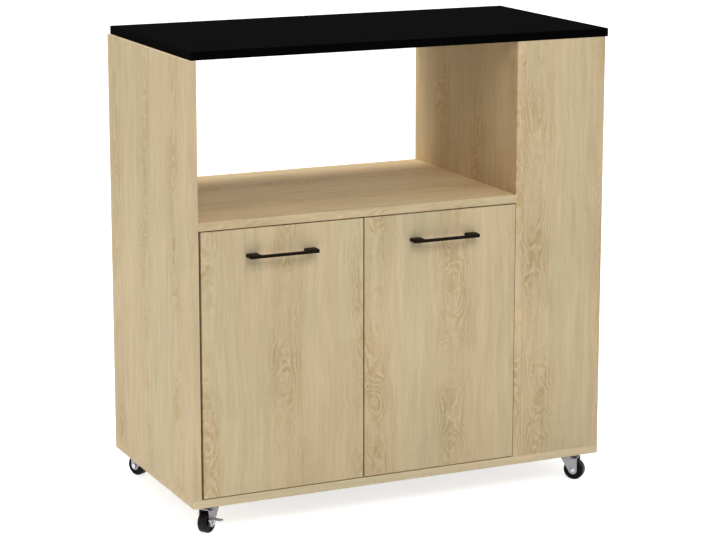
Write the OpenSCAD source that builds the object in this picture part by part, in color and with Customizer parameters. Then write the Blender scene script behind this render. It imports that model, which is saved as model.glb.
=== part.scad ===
// Kitchen cart on four swivel casters: an open oven bay above a two-door cupboard,
// and a column of open shelves at the right-hand end.
// Millimetres, +X to the right, +Y to the back, +Z up. The floor is at z = 0 and the
// origin is under the middle of the footprint, handles included.

/* [Carcass] */
// Width of the carcass
body_w = 800; // [760:5:1000]
// Depth of the carcass, front edge to back edge
body_d = 410; // [360:5:500]
// Height from the underside of the bottom board to the underside of the worktop
body_h = 777; // [720:1:900]
// Thickness of the carcass boards
board_t = 15; // [15:0.5:18]
// Clear width of the oven bay and of the cupboard below it
bay_w = 607; // [560:1:640]
// Clear height of the cupboard below the oven shelf
cupboard_h = 472; // [420:1:520]
// Radius of the boards' banded edges
edge_r = 0.8; // [0.3:0.1:1.2]

/* [Worktop] */
// Thickness of the worktop
top_t = 15; // [15:1:25]
// How far the worktop runs past the carcass on the right
top_over = 5.5; // [0:0.5:10]
// Strip of the left side's top edge that the worktop leaves bare
top_reveal = 5.5; // [0:0.5:6]

/* [Cupboard inside] */
// Thickness of the cupboard's back panel
back_t = 3; // [2.5:0.1:5]
// Distance from the back edge of the boards to the back panel
back_inset = 9; // [6:1:20]
// Depth of the grooves that hold the back panel
groove_d = 6; // [4:0.5:8]
// Height of the cupboard shelf's underside above the bottom board
cup_shelf_z = 236; // [180:1:280]
// Distance from the front plane to the cupboard shelf's front edge
cup_shelf_setback = 40; // [30:1:80]

/* [Doors] */
// Thickness of the doors
door_t = 15; // [15:0.5:18]
// Gap between the left upright and the left door
door_gap_left = 4; // [2:0.1:5]
// Gap between the right door and the partition
door_gap_right = 1; // [1:0.1:4]
// Gap between the two doors
door_gap_mid = 2.5; // [2:0.1:4]
// Gap above the doors
door_gap_top = 2; // [1:0.1:4]
// Gap below the doors
door_gap_bottom = 1.5; // [1:0.1:4]
// Distance from the left upright's inner face to the middle of the gap between the doors
door_split = 307.25; // [290:0.25:320]

/* [Handles] */
// Length of a handle over its ends
handle_len = 129; // [120:1:160]
// Distance between a handle's screws
handle_pitch = 96; // [80:1:104]
// Projection of a handle from the door's face
handle_out = 22; // [18:1:35]
// Depth of the grip bar, front to back
grip_d = 8; // [6:0.5:12]
// Height of the grip bar
grip_h = 4.5; // [4:0.5:10]
// Distance from a handle's screw to the inner end of its foot
foot_lap = 4.5; // [4:0.5:12]
// Height of a handle's foot
foot_h = 6; // [5.5:0.5:12]
// Distance from the door's hinge edge to the middle of its handle
handle_from_hinge = 146; // [100:1:160]
// Distance from the door's top edge to the handle's screws
handle_below_top = 46; // [20:0.5:90]

/* [Right-hand column] */
// Distance from the partition to the cam bolts of the column's shelves
end_cam_x = 30; // [24:1:40]
// Distance from the column's open side to the dowels of its shelves
end_dowel_in = 30; // [15:1:35]

/* [Casters] */
// Height of a caster from the floor to the bottom board
caster_h = 52; // [52:0.5:60]
// Diameter of the wheels
wheel_dia = 38; // [34:0.5:40]
// Width of the tyre
wheel_w = 17; // [14:0.5:20]
// Offset of the wheel's axle from the swivel axis
caster_trail = 13; // [9:0.5:16]
// Side length of the square top plate
plate_w = 42; // [38:1:50]
// Distance between the top plate's screws
plate_pitch = 32; // [30:0.5:36]
// Distance from the carcass's end to the swivel axis
caster_in_x = 43; // [30:1:60]
// Distance from the carcass's front or back to the swivel axis
caster_in_y = 33; // [28:1:60]
// Heading of the front left wheel, degrees from +X
heading_fl = 217; // [0:1:359]
// Heading of the front right wheel
heading_fr = 312; // [0:1:359]
// Heading of the rear left wheel
heading_rl = 118; // [0:1:359]
// Heading of the rear right wheel
heading_rr = 260; // [0:1:359]
// Length of the brake pedal, from the fork outwards
pedal_l = 20; // [14:1:26]

/* [Hinges] */
// Distance from a door's top or bottom edge to the middle of a hinge
hinge_inset = 80; // [60:1:120]
// Diameter of the hinge cup
cup_dia = 35; // [34:0.5:36]
// Depth of the hinge cup
cup_depth = 11.5; // [10:0.5:12]
// Distance from the door's hinge edge to the middle of the cup
cup_in = 22.5; // [20:0.5:25]

/* [Hidden] */
$fn = 48;
eps = 0.01;

// Clearances: a pin in its bore, a screw in its hole, a panel in its groove
run_c = 0.05;
screw_c = 0.05;
groove_c = 0.15;
shelf_side_c = 1;
shelf_back_c = 2;

// Levels
deck_z = caster_h + board_t;
shelf_z = deck_z + cupboard_h;
oven_z = shelf_z + board_t;
top_z = caster_h + body_h;
panel_h = body_h - board_t;

// Places across the width, from the carcass's left end
part_x = board_t + bay_w;
end_x = part_x + board_t;
end_w = body_w - end_x;
mid_x = (body_w + top_over) / 2;
mid_y = (body_d - handle_out) / 2;

// Shelves of the right-hand column share its height equally
end_shelves = 3;
end_bay = (panel_h - end_shelves * board_t) / (end_shelves + 1);
function end_shelf_z(i) = deck_z + (i + 1) * end_bay + i * board_t;
function end_bay_mid(i) = deck_z + (i + 0.5) * end_bay + i * board_t;

// Doors
door_l_x = board_t + door_gap_left;
door_l_w = door_split - door_gap_mid / 2 - door_gap_left;
door_r_x = board_t + door_split + door_gap_mid / 2;
door_r_w = part_x - door_gap_right - door_r_x;
door_z = deck_z + door_gap_bottom;
door_h = cupboard_h - door_gap_bottom - door_gap_top;
handle_z = door_z + door_h - handle_below_top;
handle_l_x = door_l_x + handle_from_hinge;
handle_r_x = door_r_x + door_r_w - handle_from_hinge;
handle_screw_r = 2;
door_screw_hole_r = 2.25;
foot_screw_d = 10;
handle_corner_r = 1;
screw_head_r = 4;
screw_head_h = 2;
screw_dome_r = 5.2;
grip_open = handle_pitch - 2 * foot_lap;

// Cam fittings: a lock in one board pulls on a bolt in the other
cam_r = 7.5;
cam_foot = 4.5;
cam_dist = 24;
cam_bolt_r = 3;
cam_bolt_hole_r = 3.6;
cam_neck_r = 2;
cam_thread_r = 2.9;
cam_thread_l = 8.5;
cam_head_r = 3.2;
cam_head_l = 3;
cam_skin = 0.1;
cam_recess = 1.2;
cam_slot = 6;
cam_slot_w = 1.6;
top_bolt_in = 4.6;
dowel_r = 4;
dowel_in_face = 9;
dowel_in_edge = 16;
base_head_r = 5;
base_head_h = 3;
base_collar_r = 3.5;
base_thread_r = 2.6;
base_screw_l = 50;
base_key_r = 2;
base_key_h = 3;

// Shelf pins
pin_r = 2.5;
pin_in = 9;
pin_out = 8;
pin_seat_r = 3.5;
pin_step = 32;
pin_in_front = 40;
pin_in_back = 50;
pin_y = [cup_shelf_setback + pin_in_front, body_d - back_inset - back_t - pin_in_back];

// Joints between boards. Each is [point, turn, face]: in the joint's own axes +X runs into
// the board that holds the cam lock, -X into the board that holds the bolt's thread, and
// +Z to the face where the lock is seen, which lies that far from the bolt.
edge_mid = board_t / 2;
joint_in = 60;
end_screw_in = 30;
joint_y = [joint_in, body_d - joint_in];
dowel_y = body_d / 2;
screw_y = [joint_in, dowel_y, body_d - joint_in];
top_bolt_x = max(edge_mid, top_reveal + top_bolt_in);
turn_top_side = [0, 90, 0];
turn_top_front = [0, 90, 90];
turn_top_back = [0, 90, -90];
turn_right_down = [180, 0, 0];
turn_left_down = [180, 0, 180];
turn_front_end = [-90, 0, 0];
turn_back_end = [90, 0, 0];
turn_back_down = [180, 0, 90];
turn_front_down = [180, 0, -90];

top_side_cams = [for (y = screw_y) [[top_bolt_x, y, top_z], turn_top_side, board_t - top_bolt_x]];
top_part_cams = [for (y = joint_y) [[part_x + edge_mid, y, top_z], turn_top_side, edge_mid]];
top_front_cams = [[[end_x + end_w / 2, edge_mid, top_z], turn_top_front, edge_mid]];
top_back_cams = [[[end_x + end_w / 2, body_d - edge_mid, top_z], turn_top_back, edge_mid]];
shelf_left_cams = [for (y = joint_y) [[board_t, y, shelf_z + edge_mid], turn_right_down, edge_mid]];
shelf_part_cams = [for (y = joint_y) [[part_x, y, shelf_z + edge_mid], turn_left_down, edge_mid]];
front_end_cams = [for (i = [0, 2, 3]) [[end_x, edge_mid, end_bay_mid(i)], turn_front_end, edge_mid]];
back_end_cams = [for (i = [0, 2, 3]) [[end_x, body_d - edge_mid, end_bay_mid(i)], turn_back_end, edge_mid]];
function end_shelf_front_cam(i) =
    [[[end_x + end_cam_x, board_t, end_shelf_z(i) + edge_mid], turn_back_down, edge_mid]];
function end_shelf_back_cam(i) =
    [[[end_x + end_cam_x, body_d - board_t, end_shelf_z(i) + edge_mid], turn_front_down, edge_mid]];

top_part_dowels = [[[part_x + edge_mid, dowel_y, top_z], turn_top_side]];
shelf_left_dowels = [[[board_t, dowel_y, shelf_z + edge_mid], turn_right_down]];
shelf_part_dowels = [[[part_x, dowel_y, shelf_z + edge_mid], turn_left_down]];
front_end_dowels = [[[end_x, edge_mid, end_bay_mid(1)], turn_front_end]];
back_end_dowels = [[[end_x, body_d - edge_mid, end_bay_mid(1)], turn_back_end]];
function end_shelf_front_dowel(i) =
    [[[body_w - end_dowel_in, board_t, end_shelf_z(i) + edge_mid], turn_back_down]];
function end_shelf_back_dowel(i) =
    [[[body_w - end_dowel_in, body_d - board_t, end_shelf_z(i) + edge_mid], turn_front_down]];

end_shelf_front_cams = [for (i = [0 : end_shelves - 1]) each end_shelf_front_cam(i)];
end_shelf_back_cams = [for (i = [0 : end_shelves - 1]) each end_shelf_back_cam(i)];
end_shelf_front_dowels = [for (i = [0 : end_shelves - 1]) each end_shelf_front_dowel(i)];
end_shelf_back_dowels = [for (i = [0 : end_shelves - 1]) each end_shelf_back_dowel(i)];
all_cams = concat(top_side_cams, top_part_cams, top_front_cams, top_back_cams, shelf_left_cams,
    shelf_part_cams, front_end_cams, back_end_cams, end_shelf_front_cams, end_shelf_back_cams);
all_dowels = concat(top_part_dowels, shelf_left_dowels, shelf_part_dowels,
    front_end_dowels, back_end_dowels, end_shelf_front_dowels, end_shelf_back_dowels);

// Base screws go up through the bottom board into the boards that stand on it
side_screws = [for (y = screw_y) [edge_mid, y]];
part_screws = [for (y = screw_y) [part_x + edge_mid, y]];
end_screw_x = [end_x + end_screw_in, body_w - end_screw_in];
front_end_screws = [for (x = end_screw_x) [x, edge_mid]];
back_end_screws = [for (x = end_screw_x) [x, body_d - edge_mid]];
base_screw_points = concat(side_screws, part_screws, front_end_screws, back_end_screws);

// Casters: [x, y, heading]
caster_fl = [caster_in_x, caster_in_y, heading_fl];
caster_fr = [body_w - caster_in_x, caster_in_y, heading_fr];
caster_rl = [caster_in_x, body_d - caster_in_y, heading_rl];
caster_rr = [body_w - caster_in_x, body_d - caster_in_y, heading_rr];
casters = [caster_fl, caster_fr, caster_rl, caster_rr];
wheel_r = wheel_dia / 2;
hub_w = wheel_w + 1.4;
fork_t = 1.6;
fork_in = hub_w / 2 + 0.4;
fork_out = fork_in + fork_t;
crown_z = wheel_dia + 4;
crown_r = 14;
leg_r = 8;
leg_front = -12;
leg_back = 8;
plate_t = 2;
plate_corner_r = 4;
plate_z = caster_h - plate_t;
race_r = 10.5;
race_lip = 2.5;
race_skirt = 4;
race_drop = 1.5;
skirt_drop = 3;
ball_r = 2;
balls = 9;
ball_z = plate_z - 3.5;
race_top = ball_z - 1.4;
swivel_gap = 0.1;
rivet_r = 4;
rivet_head_r = 6.5;
rivet_head_h = 1.6;
axle_r = 2.5;
axle_head_r = 4.4;
axle_head_h = 2.2;
axle_dome_r = 5.2;
axle_dome_in = 4.4;
nut_r = 4.4;
nut_h = 3;
lever_t = 1.2;
lever_gap = 0.3;
brake_extra = lever_t + 2 * lever_gap;
caster_screw_r = 1.9;
caster_screw_head_r = 3.6;
caster_screw_head_h = 1.8;
caster_screw_l = 12;
plate_hole_r = 2.3;

// Hinges: the door turns about its front outer edge
hinge_z = [door_z + hinge_inset, door_z + door_h - hinge_inset];
cup_r = cup_dia / 2;
cup_wall = 1;
cup_rim_t = 1;
cup_rim_over = 1.5;
cup_lug_pitch = 45;
cup_lug_in = 9.5;
cup_lug_r = 5.5;
cup_screw_r = 1.7;
cup_screw_l = 10;
hinge_setback = 37;
plate_from_front = door_t + hinge_setback;
hinge_plate_t = 2;
hinge_plate_pitch = 32;
hinge_screw_r = 2.5;
hinge_screw_head_r = 3.6;
hinge_screw_l = 10;

// Pivots of the hinge links, seen in plan from the door's hinge edge and front plane. The
// four points door axis, arm pivot, elbow and cup pivot form a parallelogram, so the links
// meet at the elbow at every angle of the door.
arm_pivot_in = 15;
arm_pivot_behind = 6;
cup_pivot_off = 3;
cup_pivot_sunk = 4.5;
arm_pivot = [arm_pivot_in, door_t + arm_pivot_behind];
cup_pivot = [cup_in + cup_pivot_off, door_t - cup_pivot_sunk];
elbow = arm_pivot + cup_pivot;
link_pin_r = 1.5;
link_pin_out = 0.4;
link_r = 2.4;
link_t = 1.4;
link_web = 0.8;
inner_link_z = 4.8;
outer_link_z = 6.6;
ear_r = 3.5;
arm_half = outer_link_z + link_t;
link_pin_l = 2 * (arm_half + link_pin_out);

// Arm and mounting plate, seen from the upright's face
hinge_plate_w = 10;
plate_ends = 6;
arm_low = 7;
arm_high = 15;
arm_lead = 27;
arm_tail = 26;
saddle_lead = 9;
saddle_tail = 22;
saddle_gap = 0.3;
arm_front = door_t + arm_lead;
arm_back = plate_from_front + arm_tail;
saddle_top = arm_high - link_t;
saddle_half = outer_link_z - saddle_gap;
set_screw_fore = 4;
set_screw_aft = 14;
set_screws = [plate_from_front - set_screw_fore, plate_from_front + set_screw_aft];
set_screw_r = 2;
set_screw_l = 7;
set_head_r = 3.4;
set_head_h = 1.5;
hinge_screw_head_h = 1.6;
cup_screw_head_r = 3.2;
cup_screw_head_h = 1.4;

// Long enough to cut through any piece
through = 100;

// Moves the carcass from its front left corner to the origin
module in_frame() {
    translate([-mid_x, -mid_y, 0]) children();
}

// A rectangle with rounded corners, from its lower left corner
module rounded_rect(w, h, r) {
    translate([r, 0]) square([w - 2 * r, h]);
    translate([0, r]) square([w, h - 2 * r]);
    for (x = [r, w - r], y = [r, h - r]) translate([x, y]) circle(r);
}

// Boards with banded edges, named by the way they run
module board_up(x, y, z, w, d, h) {
    translate([x, y, z]) linear_extrude(h) rounded_rect(w, d, edge_r);
}

module board_across(x, y, z, w, d, h) {
    translate([x, y, z]) rotate([90, 0, 90]) linear_extrude(w) rounded_rect(d, h, edge_r);
}

// A slab with all its edges rounded
module slab(x, y, z, w, d, h) {
    intersection() {
        board_up(x, y, z, w, d, h);
        board_across(x, y, z, w, d, h);
        translate([x, y + d, z]) rotate([90, 0, 0]) linear_extrude(d) rounded_rect(w, h, edge_r);
    }
}

// A straight pin or hole along a joint's own X axis
module along(from, to, r) {
    translate([from, 0, 0]) rotate([0, 90, 0]) cylinder(h = to - from, r = r);
}

module at_joint(j) {
    translate(j[0]) rotate(j[1]) children();
}

// What the cam fittings take out of the board that holds the locks
module lock_cuts(joints) {
    for (j = joints) at_joint(j) {
        along(-eps, cam_dist, cam_bolt_hole_r);
        translate([cam_dist, 0, -cam_foot]) cylinder(h = cam_foot + j[2] + 1, r = cam_r + screw_c);
    }
}

// What they take out of the board that holds the bolts
module bolt_cuts(joints) {
    for (j = joints) at_joint(j) along(-cam_thread_l - 0.5, eps, cam_thread_r + screw_c);
}

module dowel_edge_cuts(joints) {
    for (j = joints) at_joint(j) along(-eps, dowel_in_edge + 0.5, dowel_r + screw_c);
}

module dowel_face_cuts(joints) {
    for (j = joints) at_joint(j) along(-dowel_in_face - 0.5, eps, dowel_r + screw_c);
}

module base_pilots(points) {
    for (p = points) translate([p[0], p[1], deck_z - eps])
        cylinder(h = base_screw_l - board_t + 1, r = base_thread_r + screw_c);
}

// Holes for the cupboard shelf's pins, bored along X from the face at x
module pin_holes(x, into) {
    for (y = pin_y, k = [-1 : 1]) translate([x, y, deck_z + cup_shelf_z - pin_seat_r + k * pin_step])
        rotate([0, into * 90, 0]) translate([0, 0, -eps]) cylinder(h = pin_in + 1, r = pin_r + screw_c);
}

// Blind holes for the hinge plates' screws
module hinge_plate_holes(x, into) {
    for (z = hinge_z, k = [-0.5, 0.5]) translate([x, plate_from_front, z + k * hinge_plate_pitch])
        rotate([0, into * 90, 0]) translate([0, 0, -eps])
            cylinder(h = hinge_screw_l + 1, r = hinge_screw_r + screw_c);
}

// Groove for the cupboard's back panel, cut with the panel's own edges
module back_groove() {
    translate([board_t - groove_d, body_d - back_inset - back_t - groove_c, deck_z - groove_d])
        cube([bay_w + 2 * groove_d, back_t + 2 * groove_c, cupboard_h + 2 * groove_d]);
}

module worktop() {
    color("#151515") in_frame() difference() {
        slab(top_reveal, 0, top_z, body_w - top_reveal + top_over, body_d, top_t);
        bolt_cuts(concat(top_side_cams, top_part_cams, top_front_cams, top_back_cams));
        dowel_face_cuts(top_part_dowels);
    }
}

module left_side_panel() {
    color("#c8b48c") in_frame() difference() {
        board_up(0, 0, deck_z, board_t, body_d, panel_h);
        back_groove();
        lock_cuts(top_side_cams);
        bolt_cuts(shelf_left_cams);
        dowel_face_cuts(shelf_left_dowels);
        base_pilots(side_screws);
        pin_holes(board_t, -1);
        hinge_plate_holes(board_t, -1);
    }
}

module partition_panel() {
    color("#c4b088") in_frame() difference() {
        board_up(part_x, 0, deck_z, board_t, body_d, panel_h);
        back_groove();
        lock_cuts(top_part_cams);
        bolt_cuts(concat(shelf_part_cams, front_end_cams, back_end_cams));
        dowel_edge_cuts(top_part_dowels);
        dowel_face_cuts(concat(shelf_part_dowels, front_end_dowels, back_end_dowels));
        base_pilots(part_screws);
        pin_holes(part_x, 1);
        hinge_plate_holes(part_x, 1);
    }
}

module bottom_board() {
    color("#c9b68f") in_frame() difference() {
        board_across(0, 0, caster_h, body_w, body_d, board_t);
        back_groove();
        for (p = base_screw_points) translate([p[0], p[1], caster_h - eps]) {
            cylinder(h = board_t + 2 * eps, r = base_collar_r + screw_c);
            cylinder(h = base_head_h + eps, r1 = base_head_r + screw_c, r2 = base_collar_r + screw_c);
        }
        for (c = casters) at_plate_screws(c) translate([0, 0, -eps])
            cylinder(h = caster_screw_l + 0.5, r = caster_screw_r + screw_c);
    }
}

module oven_shelf() {
    color("#cbb892") in_frame() difference() {
        board_across(board_t, 0, shelf_z, bay_w, body_d, board_t);
        back_groove();
        lock_cuts(concat(shelf_left_cams, shelf_part_cams));
        dowel_edge_cuts(concat(shelf_left_dowels, shelf_part_dowels));
    }
}

module end_front_panel() {
    color("#c6b28a") in_frame() difference() {
        board_up(end_x, 0, deck_z, end_w, board_t, panel_h);
        lock_cuts(concat(top_front_cams, front_end_cams));
        bolt_cuts(end_shelf_front_cams);
        dowel_edge_cuts(front_end_dowels);
        dowel_face_cuts(end_shelf_front_dowels);
        base_pilots(front_end_screws);
    }
}

module end_back_panel() {
    color("#c6b28a") in_frame() difference() {
        board_up(end_x, body_d - board_t, deck_z, end_w, board_t, panel_h);
        lock_cuts(concat(top_back_cams, back_end_cams));
        bolt_cuts(end_shelf_back_cams);
        dowel_edge_cuts(back_end_dowels);
        dowel_face_cuts(end_shelf_back_dowels);
        base_pilots(back_end_screws);
    }
}

// One shelf of the right-hand column, its front edge towards +X
module end_shelf(i) {
    color("#cbb892") in_frame() difference() {
        translate([end_x, body_d - board_t, end_shelf_z(i)]) rotate([90, 0, 0])
            linear_extrude(body_d - 2 * board_t) rounded_rect(end_w, board_t, edge_r);
        lock_cuts(concat(end_shelf_front_cam(i), end_shelf_back_cam(i)));
        dowel_edge_cuts(concat(end_shelf_front_dowel(i), end_shelf_back_dowel(i)));
    }
}

module cupboard_back() {
    color("#d8ccb0") in_frame() translate([
        board_t - groove_d + groove_c, body_d - back_inset - back_t, deck_z - groove_d + groove_c
    ]) cube([
        bay_w + 2 * (groove_d - groove_c), back_t, cupboard_h + 2 * (groove_d - groove_c)
    ]);
}

module cupboard_shelf() {
    depth = body_d - back_inset - back_t - shelf_back_c - cup_shelf_setback;
    color("#cbb892") in_frame() board_across(board_t + shelf_side_c, cup_shelf_setback,
        deck_z + cup_shelf_z, bay_w - 2 * shelf_side_c, depth, board_t);
}

// Pins that carry the cupboard shelf: a thin end in the upright, a thick end under the shelf
module shelf_pins() {
    color("silver") in_frame() for (y = pin_y) {
        translate([board_t, y, deck_z + cup_shelf_z - pin_seat_r]) rotate([0, -90, 0]) {
            cylinder(h = pin_in, r = pin_r);
            translate([0, 0, -pin_out]) cylinder(h = pin_out, r = pin_seat_r);
        }
        translate([part_x, y, deck_z + cup_shelf_z - pin_seat_r]) rotate([0, 90, 0]) {
            cylinder(h = pin_in, r = pin_r);
            translate([0, 0, -pin_out]) cylinder(h = pin_out, r = pin_seat_r);
        }
    }
}

// A cam lock: a drum with a slot for the bolt's head and a cross recess for the driver
module cam_locks() {
    color("silver") in_frame() for (j = all_cams) at_joint(j)
        translate([cam_dist, 0, 0]) difference() {
            translate([0, 0, cam_skin - cam_foot])
                cylinder(h = cam_foot + j[2] - cam_skin, r = cam_r - cam_skin);
            translate([-2 * cam_r, 0, 0]) rotate([0, 90, 0])
                cylinder(h = 2 * cam_r + cam_head_l, r = cam_head_r + 3 * cam_skin);
            translate([0, 0, j[2] - cam_recess]) linear_extrude(2 * cam_recess) {
                square([cam_slot, cam_slot_w], center = true);
                square([cam_slot_w, cam_slot], center = true);
            }
        }
}

module cam_bolts() {
    color("gainsboro") in_frame() for (j = all_cams) at_joint(j) {
        along(-cam_thread_l, 0, cam_thread_r);
        along(0, cam_dist - cam_r, cam_bolt_r);
        along(cam_dist - cam_r, cam_dist - cam_head_l, cam_neck_r);
        along(cam_dist - cam_head_l, cam_dist, cam_head_r);
    }
}

module wood_dowels() {
    color("#e0cfa0") in_frame() for (j = all_dowels) at_joint(j)
        along(-dowel_in_face, dowel_in_edge, dowel_r);
}

module base_screws() {
    color("silver") in_frame() for (p = base_screw_points) translate([p[0], p[1], caster_h]) difference() {
        union() {
            cylinder(h = base_head_h, r1 = base_head_r, r2 = base_collar_r);
            cylinder(h = board_t, r = base_collar_r);
            cylinder(h = base_screw_l, r = base_thread_r);
        }
        translate([0, 0, -eps]) cylinder(h = base_key_h, r = base_key_r, $fn = 6);
    }
}

// A door, hung at its left or right edge. hinge_x is that edge, side is +1 when the door
// lies to its right and -1 when it lies to its left.
module door(x, w, hinge_x, side, handle_x) {
    color("#c9b68f") in_frame() difference() {
        slab(x, 0, door_z, w, door_t, door_h);
        for (z = hinge_z) translate([hinge_x + side * cup_in, door_t + eps, z]) rotate([90, 0, 0])
            cylinder(h = cup_depth + 0.1, r = cup_r + screw_c);
        for (z = hinge_z, k = [-0.5, 0.5])
            translate([hinge_x + side * (cup_in + cup_lug_in), door_t + eps, z + k * cup_lug_pitch])
                rotate([90, 0, 0]) cylinder(h = cup_screw_l + 0.5, r = cup_screw_r + screw_c);
        for (k = [-0.5, 0.5]) translate([handle_x + k * handle_pitch, door_t + 1, handle_z])
            rotate([90, 0, 0]) cylinder(h = door_t + 2, r = door_screw_hole_r);
    }
}

module door_left() {
    door(door_l_x, door_l_w, door_l_x, 1, handle_l_x);
}

module door_right() {
    door(door_r_x, door_r_w, door_r_x + door_r_w, -1, handle_r_x);
}

// A handle: two wide feet and a thinner grip bar flush with their underside, drawn in plan
module handle(x) {
    color("#18120e") in_frame() translate([x, 0, handle_z - foot_h / 2]) difference() {
        union() {
            linear_extrude(grip_h) handle_plan();
            linear_extrude(foot_h) intersection() {
                handle_plan();
                difference() {
                    translate([-handle_len, -2 * handle_out]) square([2 * handle_len, 2 * handle_out]);
                    translate([-grip_open / 2, -3 * handle_out]) square([grip_open, 4 * handle_out]);
                }
            }
        }
        for (s = [-0.5, 0.5]) translate([s * handle_pitch, eps, foot_h / 2]) rotate([90, 0, 0])
            cylinder(h = foot_screw_d + 1, r = handle_screw_r + screw_c);
    }
}

module handle_plan() {
    difference() {
        translate([-handle_len / 2, -handle_out]) rounded_rect(handle_len, handle_out, handle_corner_r);
        translate([-grip_open / 2, -handle_out + grip_d]) square([grip_open, handle_out]);
    }
}

module handle_left() {
    handle(handle_l_x);
}

module handle_right() {
    handle(handle_r_x);
}

// Screws from behind the door into the handle's feet
module handle_screws(x) {
    color("dimgray") in_frame() for (s = [-0.5, 0.5])
        translate([x + s * handle_pitch, door_t, handle_z]) rotate([90, 0, 0]) {
            cylinder(h = door_t + foot_screw_d, r = handle_screw_r);
            translate([0, 0, -screw_head_h]) intersection() {
                cylinder(h = screw_head_h, r = screw_head_r);
                translate([0, 0, screw_dome_r]) sphere(screw_dome_r);
            }
        }
}

module handle_screws_left() {
    handle_screws(handle_l_x);
}

module handle_screws_right() {
    handle_screws(handle_r_x);
}

// Calls its child for each hinge of a door: at the door's hinge edge, +X along the door
module at_door_hinges(hinge_x, side) {
    for (z = hinge_z) translate([hinge_x, 0, z]) {
        if (side > 0) children();
        else mirror([1, 0, 0]) children();
    }
}

// Calls its child for each hinge: at the upright's face, +X away from it, +Y to the back
module at_hinge_plates() {
    for (z = hinge_z) {
        translate([board_t, 0, z]) children();
        translate([part_x, 0, z]) mirror([1, 0, 0]) children();
    }
}

// An upright pin through a pivot, and the bore that it turns in
module link_pin(at, l) {
    translate([at[0], at[1], -l / 2]) cylinder(h = l, r = link_pin_r);
}

module link_bore(at) {
    translate([at[0], at[1], 0]) cylinder(h = through, r = link_pin_r + run_c, center = true);
}

// A link of two flat bars, z above and below the hinge's middle, joined by a web that
// runs over the given stretch of its length
module link_pair(from, to, z, web) {
    span = norm(to - from);
    aim = atan2(to[1] - from[1], to[0] - from[0]);
    translate([from[0], from[1], 0]) rotate([0, 0, aim]) {
        for (s = [z, -z - link_t]) translate([0, 0, s]) linear_extrude(link_t) {
            circle(link_r);
            translate([span, 0]) circle(link_r);
            translate([0, -link_r]) square([span, 2 * link_r]);
        }
        translate([web[0] * span, -link_web, -z - eps])
            cube([(web[1] - web[0]) * span, 2 * link_web, 2 * z + 2 * eps]);
    }
}

// Hinge cups in a door's back: a drum with a rim, two lugs and a cross pin
module hinge_cups(hinge_x, side) {
    color("silver") in_frame() at_door_hinges(hinge_x, side) {
        difference() {
            translate([cup_in, door_t, 0]) rotate([-90, 0, 0]) {
                translate([0, 0, -cup_depth]) cylinder(h = cup_depth + cup_rim_t, r = cup_r);
                cylinder(h = cup_rim_t, r = cup_r + cup_rim_over);
                for (k = [-0.5, 0.5]) translate([cup_lug_in, k * cup_lug_pitch, 0])
                    cylinder(h = cup_rim_t, r = cup_lug_r);
            }
            translate([cup_in, door_t, 0]) rotate([-90, 0, 0]) {
                translate([0, 0, -cup_depth + cup_wall]) cylinder(h = cup_depth + 2, r = cup_r - cup_wall);
                for (k = [-0.5, 0.5]) translate([cup_lug_in, k * cup_lug_pitch, -1])
                    cylinder(h = cup_rim_t + 2, r = cup_screw_r + screw_c);
            }
            link_bore(cup_pivot);
        }
        link_pin(cup_pivot, 2 * sqrt(pow(cup_r, 2) - pow(cup_pivot[0] - cup_in, 2)) - cup_wall);
    }
}

module hinge_cups_left() {
    hinge_cups(door_l_x, 1);
}

module hinge_cups_right() {
    hinge_cups(door_r_x + door_r_w, -1);
}

module cup_screws(hinge_x, side) {
    neck_r = cup_screw_head_r - cup_screw_head_h / 2;
    color("gray") in_frame() at_door_hinges(hinge_x, side) for (k = [-0.5, 0.5])
        translate([cup_in + cup_lug_in, door_t + cup_rim_t, k * cup_lug_pitch]) rotate([90, 0, 0]) {
            cylinder(h = cup_rim_t + cup_screw_l, r = cup_screw_r);
            translate([0, 0, -cup_screw_head_h])
                cylinder(h = cup_screw_head_h, r1 = neck_r, r2 = cup_screw_head_r);
        }
}

module cup_screws_left() {
    cup_screws(door_l_x, 1);
}

module cup_screws_right() {
    cup_screws(door_r_x + door_r_w, -1);
}

// Links from the arm's pivot to the elbow, with the elbow's pin
module inner_links(hinge_x, side) {
    color("gainsboro") in_frame() at_door_hinges(hinge_x, side) {
        difference() {
            link_pair(arm_pivot, elbow, inner_link_z, [0.3, 0.65]);
            link_bore(arm_pivot);
        }
        link_pin(elbow, link_pin_l);
    }
}

module hinge_inner_links_left() {
    inner_links(door_l_x, 1);
}

module hinge_inner_links_right() {
    inner_links(door_r_x + door_r_w, -1);
}

// Links from the cup's pin to the elbow
module outer_links(hinge_x, side) {
    color("gainsboro") in_frame() at_door_hinges(hinge_x, side) difference() {
        link_pair(cup_pivot, elbow, outer_link_z, [0.3, 0.55]);
        link_bore(cup_pivot);
        link_bore(elbow);
    }
}

module hinge_outer_links_left() {
    outer_links(door_l_x, 1);
}

module hinge_outer_links_right() {
    outer_links(door_r_x + door_r_w, -1);
}

// Mounting plates: a cross with two screw holes and a raised saddle that fills the arm
module hinge_plates() {
    span = hinge_plate_pitch + 2 * plate_ends;
    color("silver") in_frame() at_hinge_plates() difference() {
        union() {
            translate([0, plate_from_front - hinge_plate_w / 2, -span / 2])
                cube([hinge_plate_t, hinge_plate_w, span]);
            translate([0, plate_from_front - saddle_lead, -saddle_half])
                cube([saddle_top, saddle_lead + saddle_tail, 2 * saddle_half]);
        }
        for (k = [-0.5, 0.5]) translate([-1, plate_from_front, k * hinge_plate_pitch])
            rotate([0, 90, 0]) cylinder(h = hinge_plate_t + 2, r = hinge_screw_r + screw_c);
        for (y = set_screws) translate([arm_high - set_screw_l, y, 0]) rotate([0, 90, 0])
            cylinder(h = through, r = set_screw_r + screw_c);
    }
}

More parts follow.
